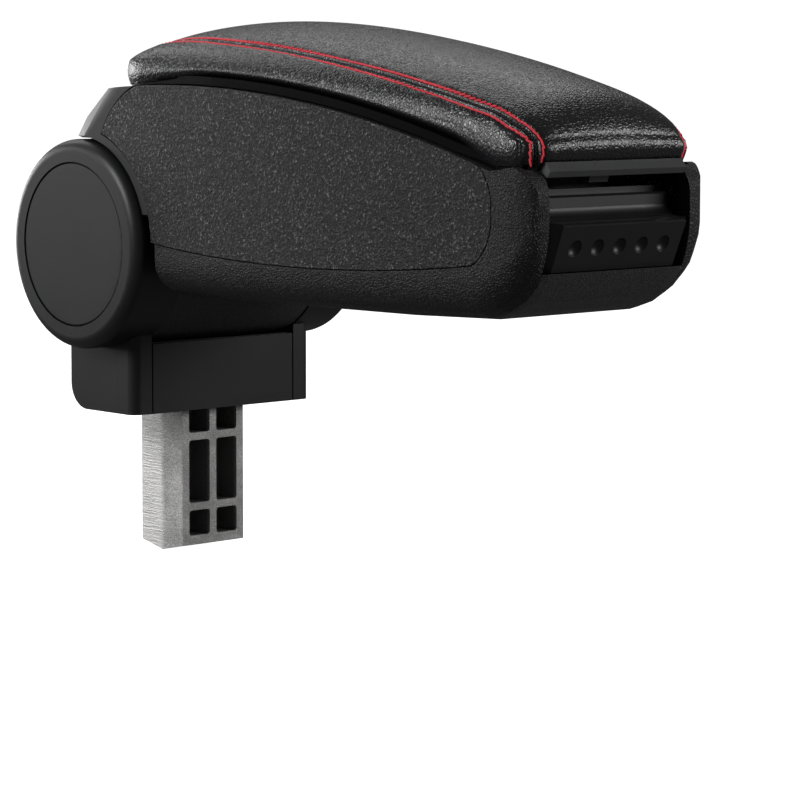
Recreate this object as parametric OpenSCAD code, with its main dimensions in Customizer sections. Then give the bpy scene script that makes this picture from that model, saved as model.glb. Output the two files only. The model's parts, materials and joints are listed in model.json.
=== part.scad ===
// Car centre armrest: a cushioned arm on a tilt hinge, with a storage box under its lid,
// on a foot whose ribbed metal spigot plugs into a holder between the seats.
// X runs forward along the arm, Z up, and the origin is the middle of the foot's underside.

/* [Foot] */
// Depth of the foot, front to back
foot_d = 51.2; // [50:0.2:58]
// Width of the foot across its side walls
foot_w = 114; // [113:1:120]
// Radius of the foot's lower rear edge
foot_rear_r = 13; // [6:1:16]
// Height of the front panel
panel_h = 34.6; // [31:0.2:35]
// Thickness of the foot's walls
foot_wall = 3; // [2.4:0.2:3.4]

/* [Spigot] */
// Depth of the spigot, front to back
spigot_d = 33; // [28:1:35]
// Width of the spigot
spigot_w = 39.4; // [34:0.2:46]
// Length of the spigot below the foot
spigot_len = 69.5; // [60:0.5:90]
// Thickness of the spigot's outer ribs
rib_side = 4.4; // [3:0.2:6]
// Thickness of the spigot's cross ribs
rib_cross = 3.8; // [3:0.2:5]
// Thickness of the web in the middle of the spigot
spigot_web = 3; // [2:0.5:5]
// Thickness of the two uprights that carry the axle
upright_t = 5; // [4:0.2:5.2]

/* [Hinge] */
// Height of the tilt axis above the foot's underside
hinge_h = 83.7; // [83:0.1:87]
// Radius of the side drums
drum_r = 51.5; // [50.5:0.5:52.5]
// Width across the outer faces of the drums
drum_w = 149.2; // [146:0.2:154]
// Length of the arm's barrel between the drums
barrel_w = 90; // [88:1:91]
// Radius of the round cap on each drum
cap_r = 40; // [38:0.5:42]
// Radius of the axle
axle_r = 6; // [5:0.25:7]

/* [Arm] */
// Front end of the arm, from the tilt axis
arm_front = 300.5; // [298:0.5:304]
// Height of the arm's flat underside
belly_z = 61; // [60:0.5:62]
// Width of the arm at its rear
arm_w = 142; // [140:1:144]
// Width of the arm where its front corners begin
nose_w = 113; // [111:1:118]
// Thickness of the shell walls
shell_t = 2.4; // [2:0.1:2.6]
// Thickness of the textured side inserts
insert_t = 2.2; // [1.8:0.1:2.4]
// Gap between the side arch and the drum
arch_gap = 6; // [4:0.5:7]

/* [Storage] */
// Length of the storage tub
tub_len = 196; // [180:2:198]
// Inside width of the storage tub
tub_w = 90; // [84:1:92]
// Thickness of the tub's walls
tub_t = 2; // [1.6:0.2:2.6]

/* [Lid] */
// Height of the cushion's lower edge at its highest point
deck_z = 166.5; // [165.5:0.5:168]
// Radius of the long curve of the lid
deck_r = 620; // [600:10:640]
// Thickness of the lid's plastic base
lid_t = 3.9; // [3.4:0.1:4]
// Thickness of the cushion at its crown
cushion_h = 26.6; // [22:0.2:30]
// Thickness of the cushion's cover
cover_t = 1.6; // [1.2:0.1:2.2]

/* [Front] */
// Height of the finger bar's lower edge
bar_z = 124.3; // [123.8:0.1:124.8]
// Length of the finger bar and of the front panel below it
bar_w = 85.2; // [82:0.2:86]
// Number of dimples in the front panel
dimples = 5; // [3:1:5]
// Distance between the dimples
dimple_pitch = 13.8; // [10:0.2:15]

/* [Hidden] */
$fn = 96;
e = 0.01;
// Gap between pieces that move past each other
run_gap = 0.3;
// Running clearance of a pin in its bore
fit = 0.05;
// Gap that shows between two fixed covers
seam = 0.5;

black = [0.13, 0.13, 0.14];
grain = [0.2, 0.2, 0.21];
leather = [0.09, 0.09, 0.1];
alloy = [0.76, 0.76, 0.77];
steel = [0.55, 0.56, 0.58];
bronze = [0.62, 0.5, 0.28];

// Extrudes a side view, drawn in X and Z, evenly to both sides of the middle plane
module side(w) { rotate([90, 0, 0]) linear_extrude(w, center = true) children(); }
// The same, from y0 to y1
module side_span(y0, y1) { translate([0, y1, 0]) rotate([90, 0, 0]) linear_extrude(y1 - y0) children(); }
// Round bar across the object from y0 to y1, about a point of the side view
module rod(x, z, r, y0, y1) { translate([x, y1, z]) rotate([90, 0, 0]) cylinder(r = r, h = y1 - y0); }
// A piece and its mirror image on the other side
module both() {
    children();
    mirror([0, 1, 0]) children();
}
// Rectangle with round corners, about its middle
module soft_rect(a, b, r) {
    square([a - 2 * r, b], center = true);
    square([a, b - 2 * r], center = true);
    for (i = [-1, 1], j = [-1, 1]) translate([i * (a / 2 - r), j * (b / 2 - r)]) circle(r);
}

// The deck is the long curve that the lid closes on, level where it reaches the finger bar
deck_x = 70;
deck_low = 132;
deck_cz = deck_z - deck_r;
function deck(x) = max(deck_low, deck_cz + sqrt(pow(deck_r, 2) - pow(x - deck_x, 2)));
module under_deck(drop) { translate([deck_x, deck_cz]) circle(r = deck_r - drop, $fn = 720); }
// Height of the dark band between the cushion and the arm
band_h = lid_t + 0.6;
// The arm's rim follows the deck, and rises to a level ledge at its front corners
ledge_z = deck_low - 2.6;
step_x = [262, 276, 292];
module under_rim(drop = 0) {
    under_deck(band_h + drop);
    translate([0, -drop]) polygon([
        [step_x[0], belly_z - 1], [step_x[0], deck_low - 6], [step_x[1], deck_low - 5], [step_x[2], ledge_z],
        [arm_front + 19.5, ledge_z], [arm_front + 19.5, belly_z - 1]
    ]);
}

// Half width of the arm at each place along it
taper_x = 60;
nose_x = 286;
face_w = 87;
function clamp01(t) = min(max(t, 0), 1);
function ease(t) = 1 - sqrt(1 - pow(clamp01(t), 2));
function half_w(x) = arm_w / 2 - (arm_w - nose_w) / 2 * pow(clamp01((x - taper_x) / (nose_x - taper_x)), 1.6)
    - (nose_w - face_w) / 2 * ease((x - nose_x) / (arm_front - nose_x));

// Side view of the arm: a chin under the front and a round back over the hinge
chin_x = 255;
chin_h = 41;
back_x = 52;
back_z = 100;
back_r = 75;
function low_z(x) = belly_z + chin_h * ease((x - chin_x) / (arm_front - chin_x));
function high_z(x) = back_z + sqrt(pow(back_r, 2) - pow(min(x, back_x) - back_x, 2));

// One cross-section of the arm as a ring of points, drawn in by d
edge_r = 18;
function arc(cy, cz, r, a0, n) = [for (i = [0:n]) [cy + r * cos(a0 + 90 * i / n), cz + r * sin(a0 + 90 * i / n)]];
function mirrored(x, half) = concat(
    [for (q = half) [x, q[0], q[1]]],
    [for (i = [len(half) - 1:-1:0]) [x, -half[i][0], half[i][1]]]
);
function arm_ring(x, d) = let (
    w = half_w(x) - d, lo = low_z(x) + d, hi = high_z(x) - d, r = edge_r - d,
    rt = 1 + 20 * clamp01((back_x - x) / 50)
) mirrored(x, concat(arc(w - r, lo + r, r, -90, 5), arc(w - rt, hi - rt, rt, 0, 3)));

// Skin through a list of rings, closed by flat ends
module skin(rings) {
    n = len(rings[0]);
    m = len(rings);
    polyhedron(
        points = [for (r = rings) for (q = r) q],
        faces = concat(
            [[for (i = [0:n - 1]) i]],
            [for (k = [0:m - 2]) for (i = [0:n - 1]) let (j = (i + 1) % n) each [
                [k * n + i, (k + 1) * n + j, k * n + j],
                [k * n + i, (k + 1) * n + i, (k + 1) * n + j]
            ]],
            [[for (i = [n - 1:-1:0]) (m - 1) * n + i]]
        ),
        convexity = 6
    );
}

// Places along the arm where its section is set, closer together where the outline turns
back_end = -20;
arm_stations = concat(
    [for (i = [0:4]) back_end + (taper_x - back_end) * (1 - cos(90 * i / 4))],
    [for (i = [1:4]) taper_x + 39 * i],
    [for (i = [1:7]) chin_x + (arm_front - chin_x) * sin(90 * i / 7)]
);
module arm_form(d, from = -50, to = 400) {
    skin([for (x = arm_stations) if (x > from && x < min(to, arm_front - d + e)) arm_ring(x, d)]);
}

// Outline of the textured insert in the side view, drawn in by d: round at the rear and at the nose
insert_c = [60, 117.3];
insert_r = 46;
insert_nose = [252.5, 112];
insert_nose_r = 23.5;
insert_drop = 6;
module insert_outline(d) {
    difference() {
        intersection() {
            under_deck(band_h + d);
            translate([165, 960.5]) circle(r = 880 - d, $fn = 720);
            union() {
                translate(insert_c) circle(r = insert_r - d);
                translate([insert_c[0], belly_z - 1]) square([insert_nose[0] - insert_c[0], 120]);
                translate(insert_nose) circle(r = insert_nose_r - d);
                translate([insert_nose[0], insert_nose[1] - insert_drop]) {
                    square([insert_nose_r - d, insert_drop]);
                    circle(r = insert_nose_r - d);
                }
            }
        }
        translate([0, hinge_h]) circle(r = arch_r + seam + d);
    }
}
arch_r = drum_r + arch_gap;

// Foot

module foot_profile(d, top) {
    r = foot_rear_r - d;
    intersection() {
        union() {
            translate([-foot_d / 2 + d + r, d]) square([foot_d - 2 * d - r, top - d]);
            translate([-foot_d / 2 + d, d + r]) square([foot_d - 2 * d, top - d - r]);
            translate([-foot_d / 2 + d + r, d + r]) circle(r);
        }
        translate([-foot_d / 2, 0]) square([foot_d, top]);
    }
}

drum_in = barrel_w / 2 + 0.6;
drum_out = drum_w / 2;
drum_edge = 6;
saddle_r = drum_r + 2.5;
cavity_top = hinge_h - saddle_r - foot_wall;
cap_seat = cap_r + 0.4;
cap_depth = 3.2;
pocket_r = cap_r - 3;
upright_in = drum_in + foot_wall + run_gap;
upright_out = upright_in + upright_t;
panel_t = 2.8;
corner_r = 5;
screw_x = 10;
screw_y = 36;

// Solid of revolution for one drum, with a rounded outer edge
module drum() {
    rotate([-90, 0, 0]) rotate_extrude() {
        translate([0, drum_in]) square([drum_r, drum_out - drum_in - drum_edge]);
        translate([0, drum_in]) square([drum_r - drum_edge, drum_out - drum_in]);
        translate([drum_r - drum_edge, drum_out - drum_edge]) circle(drum_edge);
    }
}

module foot_housing() {
    color(black) difference() {
        union() {
            intersection() {
                side(foot_w) foot_profile(0, 50);
                translate([0, 0, -e]) linear_extrude(60) {
                    translate([-10, 0]) square([foot_d + 20 - 2 * corner_r - 10, foot_w], center = true);
                    square([foot_d, foot_w - 2 * corner_r], center = true);
                    for (s = [-1, 1]) translate([foot_d / 2 - corner_r, s * (foot_w / 2 - corner_r)]) circle(corner_r);
                }
            }
            both() translate([0, 0, hinge_h]) drum();
        }
        // Saddle under the arm's barrel
        rod(0, hinge_h, saddle_r, -drum_in, drum_in);
        // Room for the casting's crossbar and uprights
        intersection() {
            side_span(-upright_out - run_gap, upright_out + run_gap) foot_profile(foot_wall, cavity_top);
            translate([-foot_d, -foot_w, 0]) cube([foot_d * 1.5 - foot_wall * 2 - 0.2, foot_w * 2, 60]);
        }
        both() translate([-upright_d / 2 - run_gap, drum_in + foot_wall, foot_wall])
            cube([upright_d + 2 * run_gap, upright_t + 2 * run_gap, hinge_h - foot_wall]);
        // Each drum is hollow from outside, with a seat for its cap and a hole for the friction washers
        both() {
            rod(0, hinge_h, cap_seat, drum_out - cap_depth, drum_out + 1);
            rod(0, hinge_h, pocket_r, drum_in + foot_wall, drum_out + 1);
            rod(0, hinge_h, washer_r + 1, drum_in - 1, drum_out);
        }
        // Recess and peg holes of the front panel
        translate([foot_d / 2 - panel_t, -drum_in, -1]) cube([10, 2 * drum_in, 60]);
        panel_pegs(peg_r + fit, foot_wall + 1);
        // Spigot opening and screw holes in the underside
        translate([0, 0, foot_wall / 2]) cube([spigot_d + 0.4, spigot_w + 0.4, foot_wall * 2], center = true);
        foot_screw_places() {
            translate([0, 0, -1]) cylinder(r = 2.1, h = foot_wall + 2);
            translate([0, 0, -1]) cylinder(r = 4.1, h = 2.5);
        }
    }
}

peg_r = 2.5;
module panel_pegs(r, len) {
    for (y = [-30, 30]) translate([foot_d / 2 - panel_t - len, y, 20]) rotate([0, 90, 0]) cylinder(r = r, h = len + e);
}
module foot_front_panel() {
    color(black) {
        translate([foot_d / 2 - panel_t, -drum_in + 0.7, 0]) cube([panel_t, 2 * drum_in - 1.4, panel_h]);
        panel_pegs(peg_r, foot_wall);
    }
}

module foot_screw_places() {
    for (x = [-screw_x, screw_x], y = [-screw_y, screw_y]) translate([x, y, 0]) children();
}
module foot_screws() {
    color(steel) foot_screw_places() {
        translate([0, 0, 0.2]) cylinder(r = 3.8, h = 1.3);
        translate([0, 0, 1.4]) cylinder(r = 1.95, h = 11);
    }
}

// Spigot casting: ribbed blade, crossbar inside the foot and two uprights to the axle
upright_d = 32;
crossbar_h = 12;
heel = 5;
hub_r = 15;
washer_r = 14;
blade_crown = 3.5;
mullion = 4.3;
window_w = (spigot_w - 2 * rib_side - mullion) / 2;
end_rows = [12.8, 12.3];
bottom_rail = 4.6;
mid_row = spigot_len - bottom_rail - end_rows[0] - end_rows[1] - 2 * rib_cross - 0.5;
row_h = [end_rows[0], mid_row, end_rows[1]];
row_z = [
    bottom_rail,
    bottom_rail + end_rows[0] + rib_cross,
    bottom_rail + end_rows[0] + mid_row + 2 * rib_cross
];
blade_r = 2.4;

module spigot() {
    color(alloy) difference() {
        union() {
            intersection() {
                side(spigot_w) polygon([
                    [-spigot_d / 2, foot_wall + 2], [-spigot_d / 2, -spigot_len],
                    [0, -spigot_len - blade_crown], [spigot_d / 2, -spigot_len], [spigot_d / 2, foot_wall + 2]
                ]);
                translate([-spigot_d, 0, -spigot_len + 20]) rotate([90, 0, 90])
                    linear_extrude(2 * spigot_d) soft_rect(spigot_w, 2 * (spigot_len - 20 + 30) - 56 + 2 * blade_crown, blade_r);
            }
            side(2 * upright_out) polygon([
                [-spigot_d / 2 + heel, foot_wall], [spigot_d / 2, foot_wall], [spigot_d / 2, foot_wall + crossbar_h],
                [-spigot_d / 2, foot_wall + crossbar_h], [-spigot_d / 2, foot_wall + heel]
            ]);
            both() {
                side_span(upright_in, upright_out) {
                    polygon([
                        [-upright_d / 2 + heel, foot_wall], [upright_d / 2, foot_wall], [upright_d / 2, 22],
                        [hub_r - 1, hinge_h - 5], [1 - hub_r, hinge_h - 5], [-upright_d / 2, 22],
                        [-upright_d / 2, foot_wall + heel]
                    ]);
                    translate([0, hinge_h]) circle(hub_r);
                }
                // Gusset between the crossbar and the upright
                translate([-2, 0, foot_wall + crossbar_h - e]) rotate([90, 0, 90]) linear_extrude(4)
                    polygon([[upright_in - 12, 0], [upright_in + e, 0], [upright_in + e, 10]]);
            }
        }
        // Six pockets on the front and six on the back, with a web between them
        for (s = [-1, 1], k = [-1, 1], i = [0:2])
            translate([s * spigot_web / 2, k * (mullion + window_w) / 2, row_z[i] + row_h[i] / 2 - spigot_len])
                rotate([90, 0, s * 90]) linear_extrude(spigot_d) soft_rect(window_w, row_h[i], 1.6);
        rod(0, hinge_h, axle_r + fit, -drum_out, drum_out);
        foot_screw_places() cylinder(r = 2, h = foot_wall + 10.5);
    }
}

// Cap on a drum: a slightly dished disc with a skirt that snaps into the pocket
module hinge_cap() {
    translate([0, 0, hinge_h]) rotate([-90, 0, 0]) rotate_extrude() polygon([
        [0, drum_out - 1], [cap_r - 3, drum_out - 0.3], [cap_r - 0.6, drum_out - 0.3], [cap_r, drum_out - 0.9],
        [cap_r, drum_out - cap_depth], [pocket_r - 0.1, drum_out - cap_depth], [pocket_r - 0.1, drum_out - 9],
        [pocket_r - 2, drum_out - 9], [pocket_r - 2, drum_out - cap_depth], [0, drum_out - cap_depth]
    ]);
}
module hinge_cap_left() { color(black) hinge_cap(); }
module hinge_cap_right() { color(black) mirror([0, 1, 0]) hinge_cap(); }

// Axle with its head on the right, then the spring washers and the nut on the left
head_h = 5;
nut_h = 6;
spring_h = 4.1;
hex_r = 10.4;
module pivot_axle() {
    color(steel) {
        rod(0, hinge_h, axle_r, -upright_out - e, upright_out + spring_h + nut_h + 1);
        translate([0, -upright_out, hinge_h]) rotate([90, 0, 0]) cylinder(r = hex_r, h = head_h, $fn = 6);
    }
}
module axle_nut() {
    color(steel) difference() {
        translate([0, upright_out + spring_h, hinge_h]) rotate([-90, 0, 0]) cylinder(r = hex_r, h = nut_h, $fn = 6);
        rod(0, hinge_h, axle_r + fit, 0, drum_w);
    }
}
module spring_washers() {
    color(steel) translate([0, upright_out, hinge_h]) rotate([-90, 0, 0]) for (z = [[0, 1], [spring_h, -1]])
        rotate_extrude() polygon([
            [axle_r + 0.3, z[0]], [12, z[0] + z[1]], [12, z[0] + 2 * z[1]], [axle_r + 0.3, z[0] + z[1]]
        ]);
}
module friction_washers() {
    color(bronze) both() difference() {
        rod(0, hinge_h, washer_r, barrel_w / 2 + run_gap, upright_in);
        rod(0, hinge_h, axle_r + 0.3, 0, upright_in + 1);
    }
}

// Arm

// Steel channel that carries the arm, with an ear on each side of the axle
frame_t = 3;
frame_z = belly_z + shell_t;
frame_end = 190;
end_wall = 2.5;
ear_out = barrel_w / 2 - end_wall;
bush_r = 9;
screw_rows = [78, 168];
module arm_frame() {
    color(steel) difference() {
        union() {
            both() side_span(ear_out - frame_t, ear_out) {
                translate([0, hinge_h]) circle(24);
                polygon([
                    [-16, hinge_h - 17], [30, frame_z], [frame_end, frame_z], [frame_end, frame_z + frame_t],
                    [tub_x - 5, frame_z + frame_t], [18, hinge_h + 16]
                ]);
            }
            translate([32, -ear_out, frame_z]) cube([frame_end - 32, 2 * ear_out, frame_t]);
        }
        rod(0, hinge_h, bush_r + fit, -barrel_w, barrel_w);
        for (x = [100, 130, 160]) translate([x - 8, 0, 0]) cylinder(r = 9, h = 100);
        frame_screw_places() cylinder(r = 2, h = 100);
    }
}
module frame_screw_places() {
    for (x = screw_rows, y = [-26, 26]) translate([x, y, 0]) children();
}
module frame_screws() {
    color(steel) frame_screw_places() {
        translate([0, 0, belly_z + 0.2]) cylinder(r1 = 3.8, r2 = 1.95, h = 1.9);
        translate([0, 0, belly_z + 2]) cylinder(r = 1.95, h = frame_t + shell_t - 2);
    }
}
module pivot_bushes() {
    color(bronze) both() difference() {
        union() {
            rod(0, hinge_h, bush_r, ear_out - frame_t - 1, barrel_w / 2);
            rod(0, hinge_h, bush_r + 3, ear_out - frame_t - 2, ear_out - frame_t);
        }
        rod(0, hinge_h, axle_r + fit, 0, barrel_w);
    }
}

// Middle of the underside, from the barrel to the chin under the front panel
barrel_r = drum_r - 0.5;
barrel_t = 3;
mid_w = face_w / 2 + 0.3;
chin_top = 83;
module bottom_shell() {
    color(grain) difference() {
        union() {
            intersection() {
                difference() {
                    arm_form(0);
                    arm_form(shell_t);
                }
                side(2 * mid_w) difference() {
                    translate([20, 0]) square([arm_front, chin_top]);
                    translate([0, hinge_h]) circle(r = barrel_r - barrel_t);
                }
            }
            difference() {
                rod(0, hinge_h, barrel_r, -barrel_w / 2, barrel_w / 2);
                rod(0, hinge_h, barrel_r - barrel_t, -ear_out, ear_out);
                translate([24, -ear_out, frame_z]) cube([60, 2 * ear_out, 80]);
            }
        }
        rod(0, hinge_h, bush_r + fit, -barrel_w, barrel_w);
        frame_screw_places() {
            cylinder(r = 2.05, h = 80);
            translate([0, 0, belly_z - e]) cylinder(r1 = 4.1, r2 = 2.05, h = 2.05);
        }
    }
}

// Side wall of the arm with a recess for its insert and an arch round the drum
module arch_corner(r) {
    difference() {
        square(r);
        translate([r, r]) circle(r);
    }
}
arch_x = taper_x + 1;
shell_in = mid_w + 0.2;
module side_shell() {
    difference() {
        union() {
            intersection() {
                difference() {
                    arm_form(0);
                    arm_form(shell_t + insert_t);
                }
                side_span(shell_in, arm_w) difference() {
                    union() {
                        intersection() {
                            under_rim();
                            translate([arch_x, 0]) square([arm_front, 200]);
                        }
                        insert_outline(seam);
                    }
                    translate([0, hinge_h]) circle(r = arch_r + seam);
                    translate([arch_x, belly_z]) arch_corner(12);
                }
            }
            // Arch wall behind the drum
            intersection() {
                arm_form(insert_t + 0.4, to = 100);
                difference() {
                    rod(0, hinge_h, arch_r + seam + 2.4, barrel_w / 2 + 1, arm_w);
                    rod(0, hinge_h, arch_r + seam, 0, arm_w);
                }
                translate([19, 0, belly_z + 12]) cube([60, arm_w, 66]);
            }
        }
        // Recess for the insert
        difference() {
            side_span(shell_in, arm_w) insert_outline(-seam);
            arm_form(insert_t + 0.1);
        }
        // Rounded top of the front corner
        translate([arm_front - 9, 0, ledge_z - 9]) rotate([-90, 0, 0]) linear_extrude(arm_w)
            mirror([0, 1]) difference() {
                square(20);
                circle(9);
            }
    }
}
module side_shell_left() { color(grain) side_shell(); }
module side_shell_right() { color(grain) mirror([0, 1, 0]) side_shell(); }

module side_insert() {
    intersection() {
        difference() {
            arm_form(0);
            arm_form(insert_t);
        }
        side_span(shell_in, arm_w) insert_outline(0);
    }
}
module side_insert_left() { color(black) side_insert(); }
module side_insert_right() { color(black) mirror([0, 1, 0]) side_insert(); }

// Smooth cover over the back of the arm, with tongues under the inserts and knuckles for the lid
lid_hx = 18;
lid_hz = 160.3;
lid_pin_r = 2;
knuckle_r = 3.8;
body_knuckles = [[-13.6, 13.6], [26.4, 36], [-36, -26.4]];
lid_knuckles = [[14, 26], [-26, -14]];
cover_gap = 1;
module behind_insert() {
    difference() {
        intersection() {
            under_rim();
            translate([-60, back_z]) square([arch_x + 57, 80]);
        }
        insert_outline(-cover_gap);
        translate([0, hinge_h]) circle(r = drum_r + 1.5);
        translate([arch_x - 3, 0]) square(2 * back_z);
        // Room for the lid's rear edge as it swings down
        translate([lid_hx - knuckle_r - 100, lid_hz - 2]) square(100);
    }
}
module tongue_zone(reach, depth) {
    both() side_span(shell_in, arm_w) intersection() {
        under_rim(1);
        difference() {
            translate(insert_c) circle(r = insert_r + reach);
            translate(insert_c) circle(r = insert_r - depth);
            translate([0, hinge_h]) circle(r = arch_r + seam + 2.6);
            translate([insert_c[0] - 12, 0]) square(2 * hinge_h + 32.6);
        }
    }
}
module rear_cover() {
    inner = shell_t + insert_t;
    color(black) difference() {
        union() {
            intersection() {
                difference() {
                    arm_form(0.8, to = 100);
                    arm_form(0.8 + shell_t, to = 100);
                }
                side(arm_w) behind_insert();
            }
            for (k = body_knuckles) rod(lid_hx, lid_hz, knuckle_r, k[0], k[1]);
            intersection() {
                for (k = body_knuckles) side_span(k[0], k[1]) polygon([
                    [0, 145], [lid_hx + knuckle_r, 152], [lid_hx + knuckle_r, lid_hz], [lid_hx, lid_hz + 1],
                    [lid_hx - knuckle_r, lid_hz - 2], [0, lid_hz - 2]
                ]);
                arm_form(1, to = 100);
            }
            // Edge that turns inwards beside the insert, and a tongue from it behind the side shell
            difference() {
                intersection() {
                    arm_form(0.8, to = 100);
                    tongue_zone(cover_gap + 1.6, 6);
                }
                difference() {
                    tongue_zone(cover_gap, 7);
                    arm_form(inner + 0.1, to = 100);
                }
                arm_form(inner + 2.2, to = 100);
            }
        }
        rod(lid_hx, lid_hz, lid_pin_r, -40, 40);
        for (k = lid_knuckles) rod(lid_hx, lid_hz, knuckle_r + 0.6, k[0] - run_gap, k[1] + run_gap);
    }
}
module lid_hinge_pin() { color(steel) rod(lid_hx, lid_hz, lid_pin_r, -36, 36); }

// Open tub between the side shells, hung from a flange under the arm's rim
tub_x = 66;
tub_z = frame_z + frame_t;
tub_r = 10;
flange_t = 2;
keeper_x = 277.6;
module tub_plan(d) { translate([tub_x + tub_len / 2, 0]) soft_rect(tub_len - 2 * d, tub_w + 2 * tub_t - 2 * d, tub_r - d); }
module storage_tub() {
    color(black) difference() {
        intersection() {
            arm_form(shell_t + insert_t + 0.2);
            side(arm_w) under_deck(band_h + 0.2);
            union() {
                translate([0, 0, tub_z]) linear_extrude(120) tub_plan(0);
                side(arm_w) difference() {
                    translate([tub_x - 3, 0]) square([keeper_x - tub_x + 3, 200]);
                    under_deck(band_h + 0.2 + flange_t);
                }
            }
        }
        translate([0, 0, tub_z + tub_t]) linear_extrude(120) tub_plan(tub_t);
    }
}

// Front panel under the finger gap: riser, finger ramp and a leaning dimpled face
fascia_t = 3.4;
riser_z = bar_z - 8.3;
rim_z = bar_z - 5.7;
riser_x = 287.5;
lip_z = 104.7;
lip_x = 301;
foot_x = 293;
fascia_low = chin_top + 0.4;
fascia_lean = atan2(lip_x - foot_x, lip_z - fascia_low);
module fascia_profile() {
    difference() {
        union() {
            polygon([
                [riser_x - 8, fascia_low], [foot_x, fascia_low], [lip_x, lip_z - 1.2], [lip_x - 1.2, lip_z],
                [riser_x + 4, lip_z + 1.2], [riser_x, lip_z + 6], [riser_x, riser_z - 1], [riser_x - 1, riser_z],
                [riser_x - 4.6, riser_z], [riser_x - 4.6, rim_z], [riser_x - 8, rim_z]
            ]);
        }
        translate([riser_x + 6.2, lip_z + 7.2]) circle(6.2);
    }
}
dimple_r = 4.4;
dimple_z = 93.7;
dimple_deep = 2.1;
module front_fascia() {
    color(black) difference() {
        intersection() {
            side(bar_w) fascia_profile();
            // The riser is a little shorter than the face below it
            union() {
                translate([riser_x - 20, -bar_w, fascia_low - 1]) cube([60, 2 * bar_w, lip_z + 1.6 - fascia_low]);
                translate([riser_x - 20, -bar_w / 2 + 2.4, lip_z]) cube([60, bar_w - 4.8, 40]);
            }
        }
        translate([-fascia_t, 0, 0]) side(bar_w - 5) intersection() {
            fascia_profile();
            translate([0, fascia_low + 2]) square([400, riser_z - fascia_low - 5.4]);
        }
        // Bevelled ends of the face
        both() translate([foot_x, bar_w / 2, fascia_low]) rotate([0, fascia_lean, 0]) rotate([0, 0, 45])
            cube([6.4, 6.4, 80], center = true);
        for (i = [0:dimples - 1])
            translate([
                foot_x + (dimple_z - fascia_low) * tan(fascia_lean) + (dimple_r - dimple_deep) * cos(fascia_lean),
                (i - (dimples - 1) / 2) * dimple_pitch,
                dimple_z - (dimple_r - dimple_deep) * sin(fascia_lean)
            ]) sphere(dimple_r);
    }
}

// Lid

pad_front = 295;
pad_rear = 15.5;
lid_end = 283;
bar_px = lid_end + 7.5;
bar_pz = bar_z + 4.1;
bar_front = bar_px + 6.5;
bar_pin_r = 1.25;
bracket_y = bar_w / 2 - 16.6;
bracket_w = 5;
module lid_band(drop) {
    difference() {
        union() {
            under_deck(0);
            translate([nose_x - 86, deck_low - 32]) square([pad_front - 3 - nose_x + 86, 32]);
        }
        under_deck(drop);
        translate([keeper_x - 27.6, belly_z - 1]) square([27, deck_low - 5 - belly_z]);
        under_rim(-0.6);
    }
}
module lid_base() {
    color(black) difference() {
        union() {
            intersection() {
                arm_form(shell_t + 1.1);
                side(arm_w) intersection() {
                    lid_band(lid_t);
                    translate([lid_hx - 2, 0]) square([300, 200]);
                }
            }
            // Rim and ribs under the lid, which reach into the mouth of the tub
            intersection() {
                side(arm_w) difference() {
                    under_deck(lid_t - e);
                    under_deck(lid_t + 5);
                }
                translate([0, 0, 100]) linear_extrude(80) {
                    difference() {
                        tub_plan(tub_t + 3);
                        tub_plan(tub_t + 5);
                    }
                    intersection() {
                        tub_plan(tub_t + 4);
                        for (i = [1:4]) translate([tub_x + tub_len * i / 5, 0]) square([1.8, tub_w], center = true);
                    }
                    intersection() {
                        tub_plan(tub_t + 4);
                        for (y = [-15, 15]) translate([tub_x + tub_len / 2, y]) square([tub_len, 1.8], center = true);
                    }
                }
            }
            for (k = lid_knuckles) {
                rod(lid_hx, lid_hz, knuckle_r, k[0], k[1]);
                side_span(k[0], k[1]) polygon([
                    [lid_hx, lid_hz - knuckle_r], [lid_hx + 12, deck(lid_hx + 12) - lid_t],
                    [lid_hx + 12, deck(lid_hx + 12) - 1], [lid_hx, deck(lid_hx) - 0.6]
                ]);
            }
            // Brackets that hold the pin of the finger bar
            for (y = [-bracket_y, bracket_y]) side_span(y - bracket_w / 2, y + bracket_w / 2) polygon([
                [lid_end - 8, deck_low - 1.4], [bar_px - 2.6, bar_pz - 2.2], [bar_px + 1.6, bar_pz - 2.2],
                [bar_px + 2.4, deck_low], [lid_end - 8, deck_low]
            ]);
        }
        // The finger bar's space, and room for the arm's own knuckles
        translate([lid_end, -mid_w - 0.6, 100]) difference() {
            cube([40, 2 * mid_w + 1.2, deck_low - 100 + 1]);
            for (y = [-bracket_y, bracket_y])
                translate([-1, mid_w + 0.6 + y - bracket_w / 2, 0]) cube([40, bracket_w, 60]);
        }
        rod(lid_hx, lid_hz, lid_pin_r + fit, -30, 30);
        for (k = body_knuckles) rod(lid_hx, lid_hz, knuckle_r + 0.6, k[0] - run_gap, k[1] + run_gap);
        for (y = [-bracket_y, bracket_y]) rod(bar_px, bar_pz, bar_pin_r, y - 4, y + 4);
    }
}

// Cross-section of the cushion at x, drawn in by d: tucked in below, crowned above
tuck = 2.5;
tuck_h = 6;
nose_rise = 4.6;
pad_stations = concat(
    [for (i = [0:5]) pad_rear + 34 * (1 - cos(90 * i / 5))],
    [for (i = [1:8]) pad_rear + 34 + 26.7 * i],
    [for (i = [1:5]) pad_front - 32 + 32 * sin(90 * i / 5)]
);
function pad_half(x) = half_w(x + 6) - 4.2 - 24 * ease((pad_rear + 30 - x) / 30);
function crown(x) = tuck_h + (cushion_h - tuck_h + nose_rise * pow(clamp01((x - 175) / 90), 1.5))
    * (1 - pow(clamp01((90 - x) / (90 - pad_rear)), 3.8))
    * (1 - 0.84 * pow(clamp01((x - pad_front + 30) / 30), 3.6));
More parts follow.
